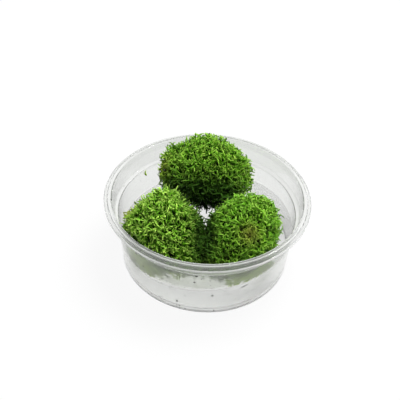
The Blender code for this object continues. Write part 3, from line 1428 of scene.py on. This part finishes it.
@dataclass(frozen=True)
class DarkSpecks:
    """Dark bits of old frond on the wall, in the gel and on the rim.

    Each has a bearing in degrees, and a height and a radius in millimetres.
    """

    section: CupSection
    round_ones: tuple[Triple, ...] = (
        (-94.0, 27.5, 0.48), (-95.3, 23.0, 0.40), (-83.7, 13.7, 0.42), (-106.2, 6.5, 0.46),
        (-104.6, 3.4, 0.28), (-104.6, 1.4, 0.30), (-85.7, 24.8, 0.20), (-91.1, 25.8, 0.22),
        (-82.1, 2.3, 0.30), (-137.4, 25.8, 0.60), (-131.0, 20.6, 0.34), (-68.5, 9.0, 0.22),
        (-76.0, 16.0, 0.20), (-117.0, 9.5, 0.22), (-85.2, 21.4, 0.16), (-84.6, 19.0, 0.15),
        (-62.6, 8.8, 0.20), (-60.0, 12.1, 0.17), (-54.5, 5.8, 0.17), (177.8, 30.4, 0.16),
        (163.2, 30.3, 0.20), (161.5, 29.8, 0.16), (152.7, 29.5, 0.18), (145.5, 24.5, 0.15),
    )
    streak: tuple[Triple, ...] = (
        (-64.7, 16.7, 0.36), (-63.9, 16.9, 0.42), (-63.0, 17.1, 0.40), (-62.1, 17.3, 0.34),
        (-61.3, 17.4, 0.26),
    )
    rim_speck: tuple[float, float] = (-46.0 * MM, -8.2 * MM)
    rim_speck_size: Triple = (0.42 * MM, 0.34 * MM, 0.16 * MM)
    rim_speck_depth: float = 0.05 * MM
    fine_ones: int = 50
    fine_turns: tuple[float, float] = (-125.0, -54.0)
    fine_spread: float = 13.0
    fine_heights: tuple[float, float] = (1.5, 20.0)
    fine_radii: tuple[float, float] = (0.16, 0.27)
    round_shape: Triple = (1.4, 1.1, 0.6)
    streak_shape: Triple = (1.4, 0.8, 0.5)
    fine_shape: Triple = (1.4, 1.0, 0.6)
    lumps: float = 0.35 * MM
    seed: int = 9

    def make(self) -> bpy.types.Object:
        """Makes the specks.

        Returns:
            The piece.
        """
        clinging = Clinging(self.section)
        beads = [clinging.on_wall(*speck, self.round_shape) for speck in self.round_ones]
        beads += [clinging.on_wall(*speck, self.streak_shape) for speck in self.streak]
        chance = random.Random(self.seed)
        for _ in range(self.fine_ones):
            turn = chance.gauss(chance.choice(self.fine_turns), self.fine_spread)
            height = chance.uniform(*self.fine_heights)
            radius = chance.uniform(*self.fine_radii)
            beads.append(clinging.on_wall(turn, height, radius, self.fine_shape))
        top = self.section.rim_height + self.section.bead_rise
        place = Vector((*self.rim_speck, top - self.rim_speck_depth))
        beads.append(Bead(place, Vector((0.0, 0.0, 1.0)), self.rim_speck_size))
        piece = clinging.piece("dark_specks", beads, self.lumps, Debris().material())
        return piece


@dataclass(frozen=True)
class Placing:
    """One loose frond: how it grows, where it lies, how its colours start, and how much painted shade and
    painted light it takes.
    """

    habit: FrondHabit
    place: Matrix
    first_rise: float = 0.55
    shade: float = 0.0
    pallor: float = 0.0


@dataclass(frozen=True)
class Handful:
    """Loose fronds scattered through a box, whose lowest and highest corners are in millimetres."""

    number: int
    low: Triple
    high: Triple
    # painted shade and painted light on all of its fronds
    shade: float
    pallor: float
    first_rise: float = 0.4
    lean: float = 0.7
    upward: Triple = (0.0, -0.3, 1.0)

    def placings(self, chance: random.Random) -> list[Placing]:
        """Scatters the fronds.

        Args:
            chance: Gives the random places and turns.

        Returns:
            One placing for each.
        """
        made = []
        for _ in range(self.number):
            place = Vector(chance.uniform(low, high) * MM for low, high in zip(self.low, self.high))
            heading = Vector(chance.uniform(-self.lean, self.lean) for _ in range(3))
            turn = (heading + Vector(self.upward)).to_track_quat("Z", "Y").to_matrix().to_4x4()
            spin = Matrix.Rotation(chance.uniform(0.0, math.tau), 4, "Z")
            lay = Matrix.Translation(place) @ turn @ spin
            made.append(Placing(FrondHabit(), lay, self.first_rise, self.shade, self.pallor))
        return made


@dataclass(frozen=True)
class StrayFronds:
    """Loose riccia: on the back wall, on the gel, between the cushions and against the front wall."""

    gel: GelFill
    wall_azimuth: float = 139.7
    wall_height: float = 26.0 * MM
    wall_gap: float = 0.3 * MM
    wall_tilt: float = math.radians(70)
    on_gel: tuple[tuple[float, float], ...] = (
        (-5.5, 1.5), (-4.0, 5.0), (-2.5, -1.0), (-1.0, 3.2), (0.5, 6.0), (1.8, 0.5), (-3.2, 8.0),
    )
    gel_gap: float = 0.45 * MM
    gel_tilt: float = math.radians(80)
    # The numbers after the box corners are painted shade, then painted light: a dark tangle in the valley,
    # dark fronds under the front rim, and bright fronds against the front wall.
    handfuls: tuple[Handful, ...] = (
        Handful(110, (-3.2, -37.0, 21.5), (2.0, -13.0, 28.0), 0.8, 0.0, first_rise=0.0),
        Handful(34, (9.0, -42.0, 18.9), (28.0, -34.0, 22.0), 0.0, 1.0),
        Handful(34, (-34.0, -38.0, 16.0), (-19.0, -27.0, 20.0), 0.0, 0.9),
        Handful(3, (-13.5, -43.0, 21.5), (-11.0, -41.0, 22.5), 0.0, 1.0),
        Handful(26, (4.5, -38.5, 21.5), (13.0, -34.5, 24.5), 0.9, 0.0),
        Handful(26, (22.0, -36.0, 21.0), (31.0, -28.0, 27.0), 0.0, 0.8),
        Handful(34, (-39.0, -30.0, 17.0), (-29.0, -19.0, 26.0), 0.3, 0.3),
        Handful(40, (22.0, -37.0, 20.0), (33.0, -26.0, 24.5), 0.0, 0.6),
        Handful(44, (-39.0, -32.0, 15.2), (-31.0, -24.0, 19.0), 0.3, 0.3),
    )
    last_rise: float = 0.9
    seed: int = 104

    def on_the_wall(self) -> Placing:
        """Places the curled bit on the back wall.

        Returns:
            Its placing.
        """
        outward = bearing(self.wall_azimuth)
        reach = float(self.gel.section.wall_radius(self.wall_height)) - self.wall_gap
        place = Matrix.Translation(outward * reach + Vector((0.0, 0.0, self.wall_height)))
        habit = FrondHabit(
            stretches=(1.5 * MM, 1.5 * MM, 1.4 * MM),
            segments=(2, 2, 2),
            forking=(0.0, 0.0, 0.0),
            width=1.1 * MM,
            curl=math.radians(27),
            tightening=1.0,
        )
        flat = outward.to_track_quat("-Y", "Z").to_matrix().to_4x4()
        tilt = Matrix.Rotation(self.wall_tilt, 4, "Y")
        # painted light brightens the curled bit on the back wall
        return Placing(habit, place @ flat @ tilt, first_rise=0.8, pallor=0.6)

    def on_the_gel(self, chance: random.Random) -> list[Placing]:
        """Places the bits that lie on the gel.

        Args:
            chance: Gives the random turns.

        Returns:
            One placing for each.
        """
        habit = FrondHabit(stretches=(1.0 * MM, 1.2 * MM, 1.2 * MM), width=0.5 * MM, curl=math.radians(25))
        tilt = Matrix.Rotation(self.gel_tilt, 4, "X")
        placings = []
        for x, y in self.on_gel:
            place = Vector((x * MM, y * MM, float(self.gel.surface(x * MM)) + self.gel_gap))
            turn = Matrix.Rotation(chance.uniform(0.0, math.tau), 4, "Z")
            placings.append(Placing(habit, Matrix.Translation(place) @ (turn @ tilt)))
        return placings

    def make(self) -> bpy.types.Object:
        """Makes the stray fronds.

        Returns:
            The piece.
        """
        chance = random.Random(self.seed)
        placings = [self.on_the_wall()] + self.on_the_gel(chance)
        for handful in self.handfuls:
            placings += handful.placings(chance)
        verts, faces = [], []
        # rise, painted shade and painted light for each point
        marks = {"rise": [], "shade": [], "pallor": []}
        for number, placing in enumerate(placings):
            maker = FrondMaker(placing.habit, self.seed + number)
            maker.grow()
            faces += [tuple(len(verts) + index for index in face) for face in maker.faces]
            verts += [placing.place @ spot for spot in maker.verts]
            climb = self.last_rise - placing.first_rise
            marks["rise"] += [placing.first_rise + climb * rise for rise in maker.rises]
            marks["shade"] += [placing.shade] * len(maker.verts)
            marks["pallor"] += [placing.pallor] * len(maker.verts)
        mesh = new_mesh("stray_fronds", verts, faces=faces)
        close_shell(mesh, 0.0)
        self.gel.press_back(mesh)
        for name, values in marks.items():
            store(mesh, name, values)
        mesh.materials.append(FrondGreen("stray riccia").material())
        piece = new_piece(mesh)
        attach(piece, BODY)
        return piece


@dataclass(frozen=True)
class SoftLight:
    """A square soft light that faces the cup and isn't seen through it, with its power in watts."""

    name: str
    place: Triple
    side: float
    power: float
    mirrored: bool = True

    def make(self, height: float) -> None:
        """Makes the light.

        Args:
            height: The height that it faces, on the cup's axis.
        """
        data = bpy.data.lights.new(self.name, "AREA")
        data.size = self.side
        data.energy = self.power
        lamp = bpy.data.objects.new(self.name, data)
        aim = Vector((0.0, 0.0, height)) - Vector(self.place)
        turn = aim.to_track_quat("-Z", "Y").to_matrix().to_4x4()
        lamp.matrix_world = Matrix.Translation(self.place) @ turn
        lamp.visible_glossy = self.mirrored
        lamp.visible_transmission = False
        bpy.context.scene.collection.objects.link(lamp)


@dataclass(frozen=True)
class Studio:
    """White floor, a large soft light overhead, a small one, a pale surround and the camera."""

    section: CupSection
    lights: tuple[SoftLight, ...] = (
        SoftLight("overhead_light", (0.30, 0.20, 0.93), side=0.60, power=24.0, mirrored=False),
        SoftLight("highlight_light", (0.70, -0.11, 0.72), side=0.10, power=1.0),
    )
    floor_half: float = 3.0
    sky: tuple[tuple[float, Color], ...] = (
        (0.0, (0.95, 0.95, 0.95)), (0.7, (0.93, 0.93, 0.93)), (1.0, (0.50, 0.51, 0.52)),
    )
    sides: tuple[tuple[float, Color], ...] = ((0.0, (0.52, 0.52, 0.52)), (0.55, (1.0, 1.0, 1.0)))
    rims_to_eye: float = 7.0
    elevation: float = math.radians(41.16)
    roll: float = math.radians(2.55)
    lens: float = 65.25
    film: float = 36.0
    picture: int = 400
    rim_pixel: tuple[float, float] = (207.75, 194.85)
    nearest: float = 0.01
    farthest: float = 20.0
    bounces: tuple[tuple[str, int], ...] = (
        ("max", 32), ("transmission", 28), ("glossy", 16), ("diffuse", 4),
    )

    def make(self) -> None:
        """Makes the floor, the lights, the surround and the camera."""
        half = self.floor_half
        corners = [(-half, -half, 0), (half, -half, 0), (half, half, 0), (-half, half, 0)]
        mesh = new_mesh("studio_floor", corners, faces=[(0, 1, 2, 3)])
        mesh.materials.append(WhiteFloor().material())
        new_piece(mesh)
        for light in self.lights:
            light.make(self.section.rim_height)
        self.surround()
        self.camera()
        scene = bpy.context.scene
        scene.view_settings.view_transform = "Standard"
        for kind, number in self.bounces:
            setattr(scene.cycles, f"{kind}_bounces", number)

    def surround(self) -> None:
        """Makes the world: pale all round, darker overhead and on the viewer's side."""
        world = bpy.data.worlds.new("pale studio")
        bpy.context.scene.world = world
        world.use_nodes = True
        wiring = Wiring(world.node_tree)
        direction = wiring.add("ShaderNodeTexCoord").outputs["Generated"]
        parts = wiring.add("ShaderNodeSeparateXYZ", {0: direction}).outputs
        depth = wiring.math("MULTIPLY_ADD", parts[1], 0.5, 0.5)
        height = wiring.ramp(parts[2], *self.sky)
        shade = wiring.blend(1.0, height, wiring.ramp(depth, *self.sides), "MULTIPLY")
        wiring.feed(world.node_tree.nodes["Background"].inputs["Color"], shade)

    def camera(self) -> None:
        """Makes the camera, which sees the cup as the photograph does."""
        data = bpy.data.cameras.new("view")
        data.lens = self.lens
        data.sensor_width = self.film
        data.clip_start = self.nearest
        data.clip_end = self.farthest
        obj = bpy.data.objects.new("view", data)
        bpy.context.scene.collection.objects.link(obj)
        bpy.context.scene.camera = obj
        rim = Vector((0.0, 0.0, self.section.rim_height))
        distance = self.rims_to_eye * self.section.rim_radius
        eye = rim + distance * Vector((0.0, -math.cos(self.elevation), math.sin(self.elevation)))
        per_pixel = distance / (self.lens / self.film * self.picture)
        right, up = self.rim_pixel[0] - self.picture / 2, self.picture / 2 - self.rim_pixel[1]
        aim = rim
        for _ in range(3):
            turn = (aim - eye).to_track_quat("-Z", "Y").to_matrix() @ Matrix.Rotation(self.roll, 3, "Z")
            aim = rim - turn @ Vector((right, up, 0.0)) * per_pixel
        obj.matrix_world = Matrix.Translation(eye) @ turn.to_4x4()


CUSHIONS = (
    Cushion(
        node="riccia_clump_back",
        piece="riccia_cushion_back",
        green=FrondGreen("back riccia", tip=(0.265, 0.42, 0.055), blade=(0.082, 0.245, 0.003)),
        habit=FrondHabit(width=0.58 * MM, curl=math.radians(13), seed=3),
        seed=21,
        fronds=2250,
        aged=(Patch((-23, 20, 38), (4, 6, 6), 0.5),),
        # painted shade low in front of the back cushion, where the front cushions shade it
        shady=(Patch((-1, 3, 31), (27, 10, 14.5), 1.8),),
        swells=(
            Patch((17, 22, 47), (7, 9, 6), 2.0),
            Patch((-16, 25, 47), (7, 9, 6), -2.4),
            Patch((-5, 27, 51), (9, 9, 6), -0.9),
            Patch((22.5, 23, 40), (6, 9, 6), -2.6),
            Patch((21, 10, 29), (6, 7, 6), -2.2),
        ),
        lean=0.75,
    ),
    Cushion(
        node="riccia_clump_left",
        piece="riccia_cushion_left",
        green=FrondGreen("left riccia", tip=(0.375, 0.55, 0.095)),
        habit=FrondHabit(stretches=(2.0 * MM, 2.0 * MM, 2.0 * MM), fork=math.radians(34), seed=5),
        seed=22,
        fronds=2200,
        aged=(Patch((-39, -14, 40), (6, 8, 8), 0.7),),
        # painted shade along the valley and behind the left cushion's top
        shady=(
            Patch((1, -26, 36), (8.5, 22, 15), 1.4),
            Patch((-8, -7, 41), (6, 7, 7), 0.9),
        ),
        swells=(
            Patch((-33, -12, 44), (7, 7, 6), -2.6),
            Patch((-4, -6, 35), (5, 7, 9), -1.2),
            Patch((-9, -9, 45), (6, 7, 6), -2.6),
        ),
        # painted light on fronds low against the front wall
        with_painted_light=(
            Patch((-31, -29, 22), (12, 10, 7), 1.0),
            Patch((-12, -38, 23), (4, 6, 5), 1.0),
        ),
        settling=(-4.0 * MM, -3.0 * MM),
    ),
    Cushion(
        node="riccia_clump_right",
        piece="riccia_cushion_right",
        green=FrondGreen("right riccia"),
        habit=FrondHabit(width=0.56 * MM, curl=math.radians(20), fork=math.radians(24), seed=7),
        seed=23,
        fronds=2120,
        aged=(Patch((19.5, -33, 46), (5, 5, 5), 0.65),),
        # painted shade along the valley
        shady=(Patch((-2, -26, 36), (8, 22, 13), 1.4),),
        swells=(
            Patch((30, -10, 44), (8, 8, 6), 1.8),
            Patch((3, -5, 35), (5, 7, 9), 1.4),
            Patch((36.5, -21, 32), (6, 9, 7), -1.7),
        ),
        # painted light on fronds low against the front wall
        with_painted_light=(Patch((14, -37, 22), (11, 8, 6), 1.3),),
        lean=0.95,
        settling=(-1.5 * MM, -2.5 * MM),
    ),
)


def main() -> None:
    """Makes the cup, the gel, the cushions, the small things and the studio."""
    logging.basicConfig(level=logging.INFO, format="%(message)s")
    gel = GelFill(CupSection())
    made = [gel.make(), FormedCup(gel).make()]
    cover = Cushion.tree()
    made += [cushion.make(cover, gel) for cushion in CUSHIONS]
    made += [WaterDrops(gel).make(), DarkSpecks(gel.section).make(), StrayFronds(gel).make()]
    Studio(gel.section).make()
    for piece in made:
        piece.data.calc_loop_triangles()
        LOG.info("%s: %d triangles", piece.name, len(piece.data.loop_triangles))


if __name__ == "__main__":
    main()
